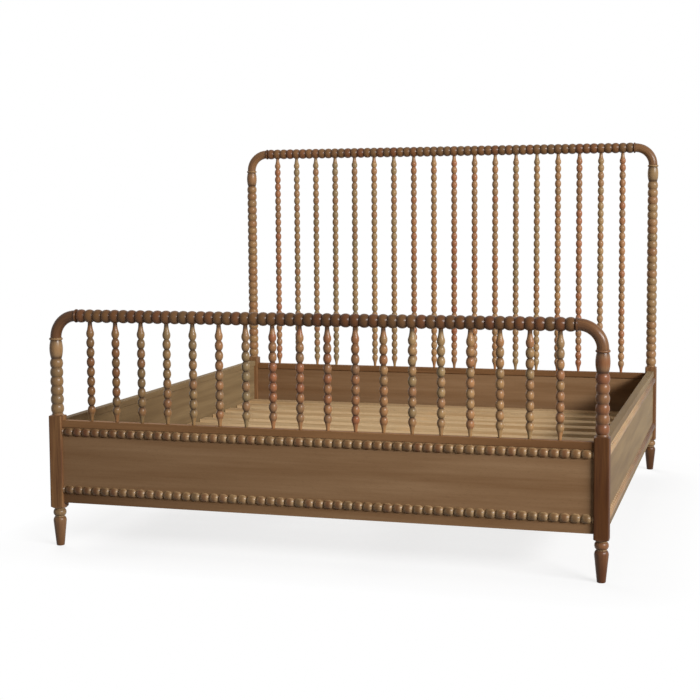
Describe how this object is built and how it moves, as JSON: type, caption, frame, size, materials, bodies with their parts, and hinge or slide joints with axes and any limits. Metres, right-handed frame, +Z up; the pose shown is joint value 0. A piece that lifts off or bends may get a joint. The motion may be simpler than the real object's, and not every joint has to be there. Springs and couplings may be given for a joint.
{
  "type": "bed frame",
  "caption": "Spool-turned wooden bed frame with spindle headboard and footboard, beaded panels, side rails, slats and a centre support.",
  "frame": {"origin": "on the floor, under the middle of the bed", "axes": "+Z up, +Y towards the headboard along the bed's length, +X to the right seen from the footboard"},
  "size_m": [2.059, 2.1446, 1.5525],
  "materials": {
    "turned_wood": "satin rubbed stain",
    "panel_wood": "satin stain",
    "moulding_wood": "satin rubbed stain",
    "support_wood": "planed, unfinished",
    "zinc_steel": "zinc plated",
    "leveller_plastic": "moulded, matt"
  },
  "bodies": {
    "frame": {"beam_hanger_foot": "zinc_steel", "beam_hanger_head": "zinc_steel", "centre_beam": "support_wood", "centre_leg_foot": "support_wood", "centre_leg_head": "support_wood", "footboard_dowels": "support_wood", "footboard_elbow_left": "turned_wood", "footboard_elbow_right": "turned_wood", "footboard_lower_moulding": "moulding_wood", "footboard_panel": "panel_wood", "footboard_post_left": "turned_wood", "footboard_post_right": "turned_wood", "footboard_sill": "panel_wood", "footboard_spindles": "turned_wood", "footboard_top_rail": "turned_wood", "footboard_upper_moulding": "moulding_wood", "hanger_screws": "zinc_steel", "headboard_dowels": "support_wood", "headboard_elbow_left": "turned_wood", "headboard_elbow_right": "turned_wood", "headboard_panel": "panel_wood", "headboard_post_left": "turned_wood", "headboard_post_right": "turned_wood", "headboard_sill": "panel_wood", "headboard_spindles": "turned_wood", "headboard_top_rail": "turned_wood", "ledger_screws": "zinc_steel", "left_rail_cap": "panel_wood", "left_rail_lower_moulding": "moulding_wood", "left_rail_upper_moulding": "moulding_wood", "left_side_rail": "panel_wood", "left_slat_ledger": "support_wood", "leg_inserts": "zinc_steel", "leg_studs": "zinc_steel", "plate_screws": "zinc_steel", "post_slot_plates": "zinc_steel", "rail_hook_plates": "zinc_steel", "right_rail_cap": "panel_wood", "right_rail_lower_moulding": "moulding_wood", "right_rail_upper_moulding": "moulding_wood", "right_side_rail": "panel_wood", "right_slat_ledger": "support_wood", "slat_01": "support_wood", "slat_02": "support_wood", "slat_03": "support_wood", "slat_04": "support_wood", "slat_05": "support_wood", "slat_06": "support_wood", "slat_07": "support_wood", "slat_08": "support_wood", "slat_09": "support_wood", "slat_10": "support_wood", "slat_11": "support_wood", "slat_12": "support_wood", "slat_13": "support_wood", "slat_screws": "zinc_steel"},
    "leveller_foot": {"leveller_foot": "leveller_plastic"},
    "leveller_head": {"leveller_head": "leveller_plastic"}
  },
  "joints": [
    {"name": "leveller_foot_screw", "type": "slide", "parent": "frame", "child": "leveller_foot", "axis": [0, 0, 1], "range_m": [-0.008, 0.01]},
    {"name": "leveller_head_screw", "type": "slide", "parent": "frame", "child": "leveller_head", "axis": [0, 0, 1], "range_m": [-0.008, 0.01]}
  ]
}
